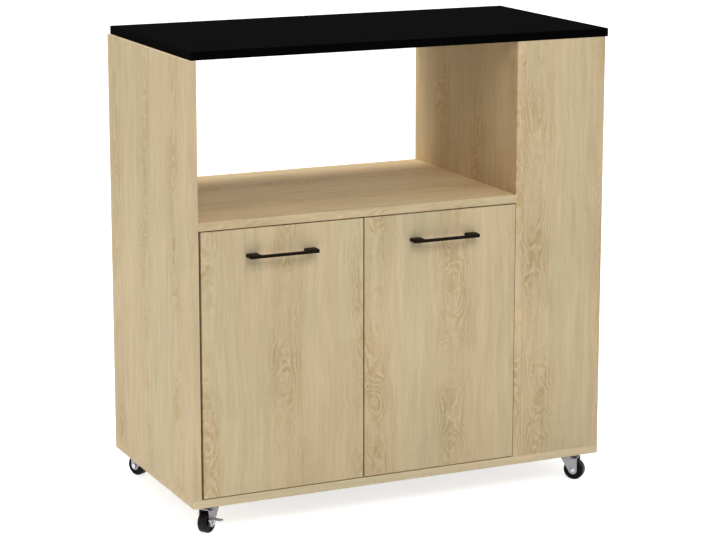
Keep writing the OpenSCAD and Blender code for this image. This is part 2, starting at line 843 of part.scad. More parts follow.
// A fixed arm: a channel over its plate's saddle, its flanges drawn out to two ears that
// hold the inner link's pin
module hinge_arm(gap) {
    pivot = [gap + arm_pivot[0], arm_pivot[1]];
    difference() {
        union() {
            translate([saddle_top, arm_front, -arm_half]) cube([link_t, arm_back - arm_front, 2 * arm_half]);
            for (z = [outer_link_z, -arm_half]) translate([0, 0, z]) linear_extrude(link_t) {
                translate(pivot) circle(ear_r);
                polygon([
                    pivot + [-ear_r, 0], pivot + [ear_r, 0], [arm_high, arm_front], [arm_high, arm_back],
                    [arm_low, arm_back], [arm_low, arm_front]
                ]);
            }
        }
        link_bore(pivot);
        for (y = set_screws) translate([0, y, 0]) rotate([0, 90, 0])
            cylinder(h = through, r = set_screw_r + screw_c);
    }
    link_pin(pivot, link_pin_l);
}

module hinge_arms() {
    color("gainsboro") in_frame() for (z = hinge_z) {
        translate([board_t, 0, z]) hinge_arm(door_gap_left);
        translate([part_x, 0, z]) mirror([1, 0, 0]) hinge_arm(door_gap_right);
    }
}

// Screws that set the arm on its plate
module hinge_set_screws() {
    color("gray") in_frame() at_hinge_plates() for (y = set_screws)
        translate([arm_high, y, 0]) rotate([0, -90, 0]) {
            cylinder(h = set_screw_l, r = set_screw_r);
            translate([0, 0, -set_head_h]) difference() {
                cylinder(h = set_head_h, r = set_head_r);
                for (turn = [0, 90]) rotate([0, 0, turn])
                    cube([set_head_r, set_head_h / 2, set_head_h], center = true);
            }
        }
}

module hinge_plate_screws() {
    color("gray") in_frame() at_hinge_plates() for (k = [-0.5, 0.5])
        translate([hinge_plate_t, plate_from_front, k * hinge_plate_pitch]) rotate([0, -90, 0]) {
            cylinder(h = hinge_plate_t + hinge_screw_l, r = hinge_screw_r);
            translate([0, 0, -hinge_screw_head_h]) cylinder(h = hinge_screw_head_h, r = hinge_screw_head_r);
        }
}

// A caster's own axes: swivel axis at the origin, +X towards the wheel, floor at z = 0
module at_caster(c) {
    translate([c[0], c[1], 0]) rotate([0, 0, c[2]]) children();
}

module at_plate_screws(c) {
    for (x = [-0.5, 0.5], y = [-0.5, 0.5])
        translate([c[0] + x * plate_pitch, c[1] + y * plate_pitch, caster_h]) children();
}

// Top plates, square to the carcass, each with its pressed-down upper raceway
module caster_plates() {
    color("silver") in_frame() for (c = casters) difference() {
        union() {
            translate([c[0] - plate_w / 2, c[1] - plate_w / 2, plate_z]) linear_extrude(plate_t)
                rounded_rect(plate_w, plate_w, plate_corner_r);
            translate([c[0], c[1], 0]) rotate_extrude() polygon([
                [rivet_r + run_c, plate_z + 1], [rivet_r + run_c, plate_z - race_drop],
                [race_r, plate_z - race_drop], [race_r + race_lip, plate_z - skirt_drop],
                [race_r + race_skirt, plate_z - skirt_drop], [race_r + race_skirt, plate_z + 1]
            ]);
        }
        translate([c[0], c[1], plate_z - race_drop - 1])
            cylinder(h = plate_t + race_drop + 2, r = rivet_r + run_c);
        translate([c[0], c[1], ball_z]) rotate_extrude()
            translate([race_r, 0]) circle(ball_r + run_c);
        at_plate_screws(c) translate([0, 0, -plate_t - 1]) cylinder(h = plate_t + 2, r = plate_hole_r);
    }
}

module caster_screws() {
    color("gray") in_frame() for (c = casters) at_plate_screws(c) {
        translate([0, 0, -plate_t]) cylinder(h = plate_t + caster_screw_l, r = caster_screw_r);
        translate([0, 0, -plate_t - caster_screw_head_h])
            cylinder(h = caster_screw_head_h, r1 = 0.7 * caster_screw_head_r, r2 = caster_screw_head_r);
    }
}

module caster_balls() {
    color("gray") in_frame() for (c = casters) at_caster(c) for (k = [0 : balls - 1])
        rotate([0, 0, k * 360 / balls]) translate([race_r, 0, ball_z]) sphere(ball_r - run_c);
}

// Rivets that hold the forks up and let them swivel
module caster_rivets() {
    color("silver") in_frame() for (c = casters) translate([c[0], c[1], 0]) {
        translate([0, 0, crown_z - swivel_gap - rivet_head_h]) cylinder(h = rivet_head_h, r = rivet_head_r);
        translate([0, 0, crown_z - swivel_gap - eps]) cylinder(h = caster_h - 0.3 - crown_z, r = rivet_r);
    }
}

// The side view of a fork: wide at the crown, tapering to a round end about the axle
module leg_outline() {
    top_front = [leg_front, crown_z + fork_t];
    axle = [caster_trail, wheel_r];
    reach = norm(top_front - axle);
    aim = atan2(top_front[1] - axle[1], top_front[0] - axle[0]);
    side = acos(leg_r / reach);
    touch = axle + leg_r * [cos(aim + side), sin(aim + side)];
    translate(axle) circle(leg_r);
    polygon([
        top_front, touch, axle, [caster_trail + leg_back, wheel_r],
        [caster_trail + leg_back, crown_z + fork_t]
    ]);
}

// A fork pressed from one strip: crown and two legs with rounded bends
module fork(c) {
    bend_r = 4;
    color("#9a9a9c") in_frame() at_caster(c) difference() {
        union() {
            intersection() {
                rotate([90, 0, 0]) linear_extrude(through, center = true) leg_outline();
                rotate([90, 0, 90]) linear_extrude(through, center = true) difference() {
                    translate([-fork_out, -bend_r])
                        rounded_rect(2 * fork_out, crown_z + fork_t + bend_r, bend_r);
                    translate([-fork_in, -2 * bend_r])
                        rounded_rect(2 * fork_in, crown_z + 2 * bend_r, bend_r - fork_t);
                }
            }
            translate([0, 0, crown_z]) cylinder(h = fork_t, r = crown_r);
            rotate_extrude() polygon([
                [rivet_r + 1, crown_z + fork_t - eps], [crown_r, crown_z + fork_t - eps],
                [crown_r, (crown_z + fork_t + race_top) / 2], [race_r + race_lip, race_top],
                [rivet_r + 1, race_top]
            ]);
        }
        translate([0, 0, crown_z - 1]) cylinder(h = 10, r = rivet_r + run_c);
        translate([0, 0, ball_z]) rotate_extrude()
            translate([race_r, 0]) circle(ball_r + run_c);
        translate([caster_trail, 0, wheel_r]) rotate([90, 0, 0])
            cylinder(h = through, r = axle_r + run_c, center = true);
    }
}

module fork_front_left() {
    fork(caster_fl);
}

module fork_front_right() {
    fork(caster_fr);
}

module fork_rear_left() {
    fork(caster_rl);
}

module fork_rear_right() {
    fork(caster_rr);
}

// Axle bolt with a round head at -Y and a nut at +Y. A braked caster's bolt is longer by the lever.
module axle(c, extra) {
    color("gainsboro") in_frame() at_caster(c) translate([caster_trail, 0, wheel_r]) rotate([-90, 0, 0]) {
        translate([0, 0, -fork_out]) cylinder(h = 2 * fork_out + extra, r = axle_r);
        translate([0, 0, -fork_out - axle_head_h]) intersection() {
            cylinder(h = axle_head_h, r = axle_head_r);
            translate([0, 0, axle_dome_in]) sphere(axle_dome_r);
        }
        translate([0, 0, fork_out + extra]) cylinder(h = nut_h, r = nut_r, $fn = 6);
    }
}

module axle_front_left() {
    axle(caster_fl, brake_extra);
}

module axle_front_right() {
    axle(caster_fr, 0);
}

module axle_rear_left() {
    axle(caster_rl, 0);
}

module axle_rear_right() {
    axle(caster_rr, brake_extra);
}

// A wheel: round-shouldered tyre, dished sides with a raised ring, raised hub
module wheel(c) {
    shoulder_r = 3;
    rim_r = wheel_r - 4;
    dish = 2.2;
    hub_r = 6;
    ring_w = 1.2;
    ring_h = 0.9;
    ring_in = (hub_r + rim_r - ring_w) / 2;
    bore_r = axle_r + run_c;
    half = wheel_w / 2;
    color("#101010") in_frame() at_caster(c) translate([caster_trail, 0, wheel_r]) rotate([90, 0, 0])
        rotate_extrude() {
            translate([bore_r, -hub_w / 2]) square([hub_r - bore_r, hub_w]);
            translate([hub_r - 1, -half + dish]) square([rim_r - hub_r + 2, wheel_w - 2 * dish]);
            translate([ring_in, -half + dish - ring_h]) square([ring_w, wheel_w - 2 * (dish - ring_h)]);
            translate([rim_r, -half]) square([wheel_r - shoulder_r - rim_r, wheel_w]);
            translate([rim_r, -half + shoulder_r]) square([wheel_r - rim_r, wheel_w - 2 * shoulder_r]);
            for (s = [-1, 1]) translate([wheel_r - shoulder_r, s * (half - shoulder_r)]) circle(shoulder_r);
        }
}

module wheel_front_left() {
    wheel(caster_fl);
}

module wheel_front_right() {
    wheel(caster_fr);
}

module wheel_rear_left() {
    wheel(caster_rl);
}

module wheel_rear_right() {
    wheel(caster_rr);
}

// Brake lever outside the +Y leg: a plate on the axle, and a pedal bent outwards at its top
module brake(c) {
    lever_y = fork_out + lever_gap;
    boss_r = 6.5;
    flare = 2;
    pedal_z = 7;
    pedal_w = 13;
    pedal_front = -7;
    pedal_back = 12;
    bend_in = 5;
    pedal_r = 3;
    color("gainsboro") in_frame() at_caster(c) translate([caster_trail, 0, wheel_r]) difference() {
        union() {
            translate([0, lever_y + lever_t, 0]) rotate([90, 0, 0]) linear_extrude(lever_t) {
                circle(boss_r);
                polygon([
                    [-boss_r, 0], [0, -flare], [boss_r, 0], [pedal_back, pedal_z], [pedal_front, pedal_z]
                ]);
            }
            translate([pedal_front, lever_y, pedal_z - lever_t])
                cube([pedal_back - pedal_front, bend_in, lever_t]);
            translate([pedal_front, lever_y, pedal_z - lever_t]) linear_extrude(lever_t)
                rounded_rect(pedal_w, pedal_l, pedal_r);
        }
        translate([0, lever_y - 1, 0]) rotate([-90, 0, 0]) cylinder(h = lever_t + 2, r = axle_r + run_c);
    }
}

module brake_front_left() {
    brake(caster_fl);
}

module brake_rear_right() {
    brake(caster_rr);
}

worktop();
left_side_panel();
partition_panel();
bottom_board();
oven_shelf();
end_front_panel();
end_back_panel();
end_shelf(0);  // end_shelf_lower
end_shelf(1);  // end_shelf_middle
end_shelf(2);  // end_shelf_upper
cupboard_back();
cupboard_shelf();
shelf_pins();
cam_locks();
cam_bolts();
wood_dowels();
base_screws();
door_left();
door_right();
handle_left();
handle_right();
handle_screws_left();
handle_screws_right();
hinge_cups_left();
hinge_cups_right();
cup_screws_left();
cup_screws_right();
hinge_inner_links_left();
hinge_inner_links_right();
hinge_outer_links_left();
hinge_outer_links_right();
hinge_plates();
hinge_arms();
hinge_set_screws();
hinge_plate_screws();
caster_plates();
caster_screws();
caster_balls();
caster_rivets();
fork_front_left();
fork_front_right();
fork_rear_left();
fork_rear_right();
axle_front_left();
axle_front_right();
axle_rear_left();
axle_rear_right();
wheel_front_left();
wheel_front_right();
wheel_rear_left();
wheel_rear_right();
brake_front_left();
brake_rear_right();
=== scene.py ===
import math

import bpy
import numpy as np
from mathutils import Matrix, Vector


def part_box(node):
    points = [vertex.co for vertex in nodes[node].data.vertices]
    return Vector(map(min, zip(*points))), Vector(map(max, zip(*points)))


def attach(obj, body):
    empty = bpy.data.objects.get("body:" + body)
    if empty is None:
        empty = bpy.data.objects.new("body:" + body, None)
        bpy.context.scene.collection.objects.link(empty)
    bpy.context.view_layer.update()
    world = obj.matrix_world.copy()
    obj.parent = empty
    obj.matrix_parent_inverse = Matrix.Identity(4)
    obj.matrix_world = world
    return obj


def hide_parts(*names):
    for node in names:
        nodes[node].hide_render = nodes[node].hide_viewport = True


# Kitchen cart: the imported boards, hinges and casters, with their finishes, lights and camera.
# Everything is in metres, +X to the right, +Y to the back, +Z up, floor at zero.

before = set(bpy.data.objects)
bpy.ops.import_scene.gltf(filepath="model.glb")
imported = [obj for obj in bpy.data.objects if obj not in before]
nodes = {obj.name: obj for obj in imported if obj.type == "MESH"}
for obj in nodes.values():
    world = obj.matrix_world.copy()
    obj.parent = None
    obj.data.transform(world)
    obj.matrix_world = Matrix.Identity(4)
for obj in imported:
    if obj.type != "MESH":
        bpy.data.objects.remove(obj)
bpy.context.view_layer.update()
print("frame loaded:", len(nodes), "nodes")


class Wire:
    # One output of a node. Arithmetic on it adds Math nodes; add() makes any other node.
    def __init__(self, tree, socket=None):
        self.tree = tree
        self.socket = socket

    def add(self, kind, settings=None, values=None, out=0):
        made = self.tree.nodes.new(kind)
        for name, value in (settings or {}).items():
            setattr(made, name, value)
        for name, value in (values or {}).items():
            if isinstance(value, Wire):
                self.tree.links.new(value.socket, made.inputs[name])
            else:
                made.inputs[name].default_value = value
        return Wire(self.tree, made.outputs[out])

    def maths(self, operation, *terms):
        return self.add("ShaderNodeMath", {"operation": operation}, dict(enumerate(terms)))

    def __add__(self, other):
        return self.maths("ADD", self, other)

    def __radd__(self, other):
        return self.maths("ADD", other, self)

    def __sub__(self, other):
        return self.maths("SUBTRACT", self, other)

    def __rsub__(self, other):
        return self.maths("SUBTRACT", other, self)

    def __mul__(self, other):
        return self.maths("MULTIPLY", self, other)

    def __rmul__(self, other):
        return self.maths("MULTIPLY", other, self)

    def __pow__(self, other):
        return self.maths("POWER", self, other)

    def __abs__(self):
        return self.maths("ABSOLUTE", self)

    def least(self, other):
        return self.maths("MINIMUM", self, other)

    def most(self, other):
        return self.maths("MAXIMUM", self, other)

    def fold(self):
        return self.maths("FRACT", self)

    def whole(self):
        return self.maths("FLOOR", self)

    def swing(self, amount):  # noise as a change to both sides of nothing
        return (self - 0.5) * amount

    def above(self, low):  # low to 1 instead of 0 to 1
        return self * (1 - low) + low

    def step(self, low, high):  # 0 below low, 1 above high, smooth between
        return self.add("ShaderNodeMapRange", {"interpolation_type": "SMOOTHSTEP"},
                        {"Value": self, "From Min": low, "From Max": high})

    def join(self, y, z):
        return self.add("ShaderNodeCombineXYZ", None, {0: self, 1: y, 2: z})

    def parts(self):  # the x, y and z of a vector
        made = self.tree.nodes.new("ShaderNodeSeparateXYZ")
        self.tree.links.new(self.socket, made.inputs[0])
        return [Wire(self.tree, made.outputs[i]) for i in range(3)]

    def coordinates(self, kind):  # x, y and z of Object, Normal or Generated
        return self.add("ShaderNodeTexCoord", None, None, kind).parts()

    def noise(self, detail=2.0, rough=0.5):  # self is the vector; 0 to 1 with its mean at 0.5
        return self.add("ShaderNodeTexNoise", None,
                        {"Vector": self, "Scale": 1.0, "Detail": detail, "Roughness": rough})

    def blend(self, first, second):  # self is the share of the second colour
        return self.add("ShaderNodeMix", {"data_type": "RGBA"}, {0: self, 6: first, 7: second}, 2)

    def multiplyBy(self, colour):  # the two colours multiplied
        return self.add("ShaderNodeMix", {"data_type": "RGBA", "blend_type": "MULTIPLY"},
                        {0: 1.0, 6: self, 7: colour}, 2)

    def shade(self, colour):  # the colour times self
        return self.add("ShaderNodeMix", {"data_type": "RGBA", "blend_type": "MULTIPLY"},
                        {0: 1.0, 6: colour, 7: self.join(self, self)}, 2)

    def bump(self, strength, distance):  # self is the height
        return self.add("ShaderNodeBump", None,
                        {"Height": self, "Strength": strength, "Distance": distance})


def startMaterial(name):
    # A Principled material; gives it, the wire to build with, and the shader
    material = bpy.data.materials.new(name)
    material.use_nodes = True
    return material, Wire(material.node_tree), material.node_tree.nodes["Principled BSDF"]


def plug(shader, **inputs):
    # Sets the shader's sockets, by their names with _ for a space
    for name, value in inputs.items():
        socket = shader.inputs[name.replace("_", " ")]
        if isinstance(value, Wire):
            value.tree.links.new(value.socket, socket)
        else:
            socket.default_value = value


def evenNoise(xyz, scale, detail=2.0, rough=0.5):
    # Noise with no grain: the same scale along all three axes
    x, y, z = (part * scale for part in xyz)
    return x.join(y, z).noise(detail, rough)


def facing(pen, axis):
    # 1 on the faces that look along the axis, either way, and 0 on the others
    return abs(pen.coordinates("Normal")[axis]).step(0.6, 0.9)


axisX, axisY, axisZ = 0, 1, 2

oak = {
    "leafWidth": 0.150,                    # from one column of figure to the next
    "columnHalf": 0.031,                   # half the width of a column
    "bend": 0.030,                         # how far the fibres bend to their sides, in metres
    "wander": 0.05,                        # how far a column strays to its sides, in metres
    "ringsAcross": 3.4,                    # rings from a column's middle to its side
    "ringsUp": 10.0,                       # sets how many rings the ovals add along a column
    "ringRough": 3.2,                      # how ragged the rings are
    "waveAlong": 10.5,                     # scale of the wave that closes rings into ovals
    "waveApart": 7.31,                     # takes each column to another place in that wave
    "green": (0.556, 0.462, 0.292, 1),     # the two tones of the broad bands
    "pink": (0.574, 0.446, 0.280, 1),
    "late": (0.440, 0.318, 0.162, 1),      # the rings' darker wood
    "pale": (0.690, 0.575, 0.405, 1),      # the light line beside a ring
    "honey": (0.490, 0.368, 0.208, 1),     # the columns' deeper ground
    "facePaintedLight": (1.07, 0.975, 0.87, 1),    # painted light: warmer colour on the side faces of the partition, for light bounced between the boards
    "shelfPaintedLight": (1.25, 1.135, 1.01, 1),   # painted light: upper and lower faces of the shelves painted lighter
    "sillPaintedLight": (1.15, 1.17, 1.21, 1),     # painted light: front edge of the bottom board painted lighter and cooler
    "honeyShare": 0.38,
    "lineShare": 0.84,
    "blotShare": 0.36,
    "glintShare": 0.48,
    "straightShare": 0.15,                 # strength of the lines away from the columns
    "quietShare": 0.18,                    # strength of the figure between its patches
    "quietGround": 0.2,                    # strength of the ground between them
    "gloss": 0.58,
    "shine": 0.04,
    # Noises: scale over the grain and along it, place in the noise, detail, roughness
    "layers": {
        "wander": (2.0, 3.4, 0.0, 2.0, 0.5),
        "bend": (13, 6.5, 12.4, 3.0, 0.62),
        "ragged": (50, 30, 3.1, 4.0, 0.70),
        "dash": (260, 34, 7.7, 3.0, 0.65),     # breaks the lines up
        "patch": (15, 8, 8.2, 2.0, 0.5),       # where the figure is strong
        "band": (16, 1.6, 1.7, 2.0, 0.6),
        "blot": (48, 26, 13.7, 3.0, 0.65),
        "fibre": (520, 22, 2.3, 2.0, 0.6),
        "streak": (170, 9.0, 6.4, 3.0, 0.6),
        "thread": (80, 5.0, 9.1, 3.0, 0.62),
        "slow": (7, 4, 5.5, 2.0, 0.5),
        "pore": (900, 55, 4.9, 1.0, 0.5),
    },
    # Where each soft step starts and ends: in half widths for the column, in rings for line and
    # glint, and in the noise for the others
    "steps": {
        "column": (0.2, 1.6),
        "lineRise": (0.10, 0.70), "lineFall": (0.78, 1.0), "lineDash": (0.38, 0.62),
        "glintRise": (0.0, 0.15), "glintFall": (0.15, 0.45), "glintDash": (0.42, 0.60),
        "patch": (0.40, 0.62), "band": (0.34, 0.72), "blot": (0.50, 0.72), "pore": (0.58, 0.70),
    },
    # How bright the print is, and how much each noise changes that
    "light": {"all": 1.01, "fibre": 0.12, "streak": 0.28, "thread": 0.34, "slow": 0.22,
              "dash": 0.15, "pore": 0.06},
}


def oakMaterial(name, along, across, seed, shift=0.0, paintedBrightness=1.0, figure=1.0, paintedLight=None):
    # Printed oak. along is the grain's axis, across the axes that run over it (summed, so that
    # faces and edges both show grain). Rings are the contour lines of a field. Far from a
    # column's middle it grows evenly, which gives straight lines. Near the middle it is a
    # parabola plus a slow wave along the grain, which closes the lines into ovals and arches.
    # The last argument paints light and shade: a colour's name and an axis; that colour multiplies
    # the faces that look along that axis.
    material, pen, shader = startMaterial(name)
    xyz = pen.coordinates("Object")
    run = xyz[along]
    over = xyz[across[0]] + xyz[across[1]] + shift

    def layer(kind, axis):
        overScale, alongScale, place, detail, rough = oak["layers"][kind]
        return (axis * overScale).join(run * alongScale, seed + place).noise(detail, rough)

    def cut(wire, kind):
        return wire.step(*oak["steps"][kind])

    # The axis over the grain, bent, and the distance from the nearest column's middle
    bent = over + layer("bend", over).swing(oak["bend"])
    strayed = bent + layer("wander", over).swing(oak["wander"])
    inLeaf = (strayed * (1 / oak["leafWidth"])).fold() - 0.5
    away = abs(inLeaf) * (oak["leafWidth"] / oak["columnHalf"])
    near = 1 - cut(away, "column")

    # The rings: a parabola that goes on as its tangent, with the wave and the ragged noise
    rise = away.least(1.0) ** 2 + (away - 1).most(0.0) * 2
    leaf = (over * (1 / oak["leafWidth"])).whole()
    wave = (run * oak["waveAlong"]).join(leaf * oak["waveApart"], seed).noise(1.0)
    stir = wave.swing(oak["ringsUp"]) + layer("ragged", over).swing(oak["ringRough"])
    phase = (rise * oak["ringsAcross"] + near * stir).fold()
    dash = layer("dash", bent)
    line = cut(phase, "lineRise") * (1 - cut(phase, "lineFall"))
    line = line * (0.25 + cut(dash, "lineDash") * 0.95)
    glint = cut(phase, "glintRise") * (1 - cut(phase, "glintFall")) * cut(dash, "glintDash")
    patch = cut(layer("patch", over), "patch")
    strength = near.above(oak["straightShare"]) * patch.above(oak["quietShare"]) * figure

    # The colours, from the broad bands up
    thread = layer("thread", bent)
    bands = cut(layer("band", bent) + thread.swing(0.6) + near * 0.08, "band")
    ground = near * patch.above(oak["quietGround"]) * figure
    blot = near * cut(layer("blot", over), "blot") * figure
    base = bands.blend(oak["green"], oak["pink"])
    base = (ground * oak["honeyShare"]).blend(base, oak["honey"])
    base = (line * strength * oak["lineShare"]).blend(base, oak["late"])
    base = (blot * oak["blotShare"]).blend(base, oak["late"])
    base = (glint * strength * oak["glintShare"]).blend(base, oak["pale"])

    # Fine light and dark of fibres, streaks and pores
    fibre = layer("fibre", bent)
    pore = cut(layer("pore", over), "pore")
    streak, slow = layer("streak", bent), layer("slow", over)
    share = oak["light"]
    light = share["all"] + fibre.swing(share["fibre"]) + streak.swing(share["streak"])
    light = light + thread.swing(share["thread"]) + slow.swing(share["slow"])
    light = (light + dash.swing(share["dash"])) * (1 - pore * share["pore"])
    # Painted light and shade: the whole print made lighter or darker by the board's brightness
    # level
    colour = (light * paintedBrightness).shade(base)
    # Painted light and shade: the faces along the given axis take the painted colour
    if paintedLight:
        paintedName, paintedAxis = paintedLight
        colour = facing(pen, paintedAxis).blend(colour, colour.multiplyBy(oak[paintedName]))
    height = fibre * 0.5 + (1 - pore) * 0.8 - line * 0.2
    plug(shader, Base_Color=colour, Roughness=oak["gloss"] + fibre.swing(0.16) + pore * 0.08,
         Normal=height.bump(0.18, 0.0002), Specular_IOR_Level=oak["shine"])
    return material


laminate = {
    "black": (0.0018, 0.0018, 0.0018, 1),
    "endsPaintedLight": 1.1,       # painted light: added share of brightness painted on the two ends
    "gloss": 0.66,
    "shine": 0.0006,
}


def worktopMaterial():
    # Matte black laminate with a faint pebble texture, its two ends painted a little lighter as
    # painted light
    material, pen, shader = startMaterial("worktop laminate")
    xyz = pen.coordinates("Object")
    pebble = evenNoise(xyz, 900)
    # Painted light: the two ends are made lighter than the top and front
    tone = (0.8 + evenNoise(xyz, 14) * 0.4) * (1 + facing(pen, axisX) * laminate["endsPaintedLight"])
    plug(shader, Base_Color=tone.shade(laminate["black"]),
         Roughness=laminate["gloss"] + pebble.swing(0.12), Normal=pebble.bump(0.18, 0.0001),
         Specular_IOR_Level=laminate["shine"])
    return material


def metalMaterial(name, colour, rough, metallic=1.0, grain=60, patchy=0.12, bumpy=0.05, shine=0.5):
    # Plated or painted metal: slow cloudy tone, fine grain in roughness and bump
    material, pen, shader = startMaterial(name)
    xyz = pen.coordinates("Object")
    cloud = evenNoise(xyz, grain, 3.0, 0.6)
    fine = evenNoise(xyz, grain * 22)
    tone = 1 + cloud.swing(patchy * 2) + fine.swing(0.06)
    plug(shader, Base_Color=tone.shade((*colour, 1)),
         Roughness=rough + cloud.swing(0.18) + fine.swing(0.05),
         Normal=(fine + cloud * 0.4).bump(bumpy, 0.0001),
         Metallic=metallic, Specular_IOR_Level=shine)
    return material


def plasticMaterial(name, colour, rough, shine):
    # Moulded plastic: faint flow marks and a fine skin
    material, pen, shader = startMaterial(name)
    xyz = pen.coordinates("Object")
    flow = evenNoise(xyz, 180, 3.0)
    skin = evenNoise(xyz, 2600, 1.0)
    tone = 0.85 + flow * 0.3
    plug(shader, Base_Color=tone.shade((*colour, 1)),
         Roughness=rough + flow.swing(0.15) + skin.swing(0.08),
         Normal=skin.bump(0.10, 0.00005), Specular_IOR_Level=shine)
    return material


def fibreboardMaterial(colour):
    # Painted fibreboard: soft clouds, short upright fibres and small dark flecks
    material, pen, shader = startMaterial("fibreboard")
    x, y, z = pen.coordinates("Object")
    fibre = (x * 300).join(y * 300, z * 110).noise(4.0, 0.7)
    cloud = (x * 14).join(y * 14, z * 9).noise(3.0, 0.6)
    fleck = (x * 640).join(y * 640, z * 260).noise(2.0).step(0.60, 0.72)
    tone = (0.90 + fibre.swing(0.30) + cloud * 0.20) * (1 - fleck * 0.14)
    plug(shader, Base_Color=tone.shade((*colour, 1)), Roughness=0.62 + fibre.swing(0.15),
         Normal=fibre.bump(0.2, 0.0001))
    return material


def beechMaterial(colour):
    # Raw beech with short dark flecks
    material, pen, shader = startMaterial("beech")
    xyz = pen.coordinates("Object")
    fleck = evenNoise(xyz, 700, 3.0, 0.7).step(0.55, 0.7)
    cloud = evenNoise(xyz, 60)
    tone = (0.9 + cloud * 0.2) * (1 - fleck * 0.18)
    plug(shader, Base_Color=tone.shade((*colour, 1)), Roughness=0.55 + cloud.swing(0.2))
    return material


# A board's seed and shift choose its print and where the columns of figure stand on it
finishes = {
    "worktop": worktopMaterial(),
    # Each board's brightness level is painted light and shade: the board made lighter or darker for
    # how much light reaches it
    "sideOak": oakMaterial("oak left side", axisZ, (axisY, axisX), 11.0, shift=-0.005, paintedBrightness=0.985),
    # The partition's side faces are painted warmer, as painted bounce light
    "partOak": oakMaterial("oak partition", axisZ, (axisY, axisX), 23.0, shift=0.053, paintedBrightness=1.06,
                           paintedLight=("facePaintedLight", axisX)),
    "doorLeftOak": oakMaterial("oak left door", axisZ, (axisX, axisY), 39.0, shift=0.046),
    "doorRightOak": oakMaterial("oak right door", axisZ, (axisX, axisY), 41.0, shift=0.022),
    "panelOak": oakMaterial("oak end panels", axisZ, (axisX, axisY), 53.0, shift=0.008),
    # The shelves' upper and lower faces are painted lighter: painted light
    "shelfOak": oakMaterial("oak shelves", axisX, (axisY, axisZ), 67.0, shift=0.040, paintedBrightness=0.975,
                            figure=0.8, paintedLight=("shelfPaintedLight", axisZ)),
    # The bottom board's front edge is painted lighter and cooler: painted light
    "bottomOak": oakMaterial("oak bottom board", axisX, (axisY, axisZ), 71.0, paintedBrightness=0.97,
                             figure=0.5, paintedLight=("sillPaintedLight", axisY)),
    "endOak": oakMaterial("oak end shelves", axisY, (axisX, axisZ), 83.0, shift=0.02),
    "fibreboard": fibreboardMaterial((0.50, 0.415, 0.285)),
    "beech": beechMaterial((0.56, 0.40, 0.24)),
    "handle": metalMaterial("handle paint", (0.0075, 0.0042, 0.0027), 0.46, metallic=0.0, grain=90,
                            patchy=0.2, bumpy=0.10, shine=0.05),
    "zinc": metalMaterial("zinc plate", (0.31, 0.31, 0.33), 0.46, metallic=0.85, grain=70,
                          patchy=0.14, bumpy=0.08),
    "bright": metalMaterial("bright zinc", (0.52, 0.52, 0.54), 0.34, grain=90, patchy=0.10),
    "lever": metalMaterial("brake zinc", (0.62, 0.62, 0.64), 0.40, metallic=0.7, grain=90,
                           patchy=0.14, bumpy=0.06),
    "nickel": metalMaterial("nickel", (0.66, 0.65, 0.62), 0.24, grain=80, patchy=0.10, bumpy=0.04),
    "wheel": plasticMaterial("wheel plastic", (0.0025, 0.0025, 0.0026), 0.40, 0.12),
}
print("finishes made:", len(finishes))

# The first start of a node's name that fits gives its finish
nodeFinish = {
    "worktop": "worktop", "left_side_panel": "sideOak", "partition_panel": "partOak",
    "bottom_board": "bottomOak", "oven_shelf": "shelfOak", "cupboard_shelf": "shelfOak",
    "end_front_panel": "panelOak", "end_back_panel": "panelOak", "end_shelf_": "endOak",
    "cupboard_back": "fibreboard", "wood_dowels": "beech",
    "door_left": "doorLeftOak", "door_right": "doorRightOak",
    "handle_screws": "bright", "handle_": "handle",
    "cam_locks": "zinc", "cam_bolts": "bright", "base_screws": "zinc", "shelf_pins": "nickel",
    "cup_screws": "bright", "hinge_plate_screws": "bright", "hinge_set_screws": "bright",
    "hinge_": "nickel",
    "caster_plates": "zinc", "caster_rivets": "zinc", "caster_screws": "bright",
    "caster_balls": "bright",
    "fork_": "zinc", "axle_": "bright", "brake_": "lever", "wheel_": "wheel",
}
for name, cadNode in nodes.items():
    key = next(start for start in nodeFinish if name.startswith(start))
    cadNode.data.materials.clear()
    cadNode.data.materials.append(finishes[nodeFinish[key]])
print("finishes given to the nodes")


handle = {
    "outerCorner": 0.0032,     # radius of a foot's outer front corner, in metres
    "footLength": 0.021,       # from the end to the foot's inner side
    "innerFillet": 0.004,      # between that side and the grip
    "gripDepth": 0.008,
    "gripHeight": 0.0045,
    "sinkLead": 0.002,         # where the top starts to sink, before the foot's inner side
    "sinkLength": 0.005,       # how long it takes
    "edge": 0.0007,            # radius of all long edges
    "arcSteps": 7,             # points on each corner's and fillet's quarter circle
    "edgeSteps": 5,            # points on each long edge's quarter circle
    "sharpAngle": 40,          # degrees from which an edge shades sharp
}


def quarterDip(radius, distance):
    # How far a quarter circle has still to go to its straight side, at a distance before it
    return radius - np.sqrt(np.maximum(radius ** 2 - np.maximum(distance, 0) ** 2, 0))


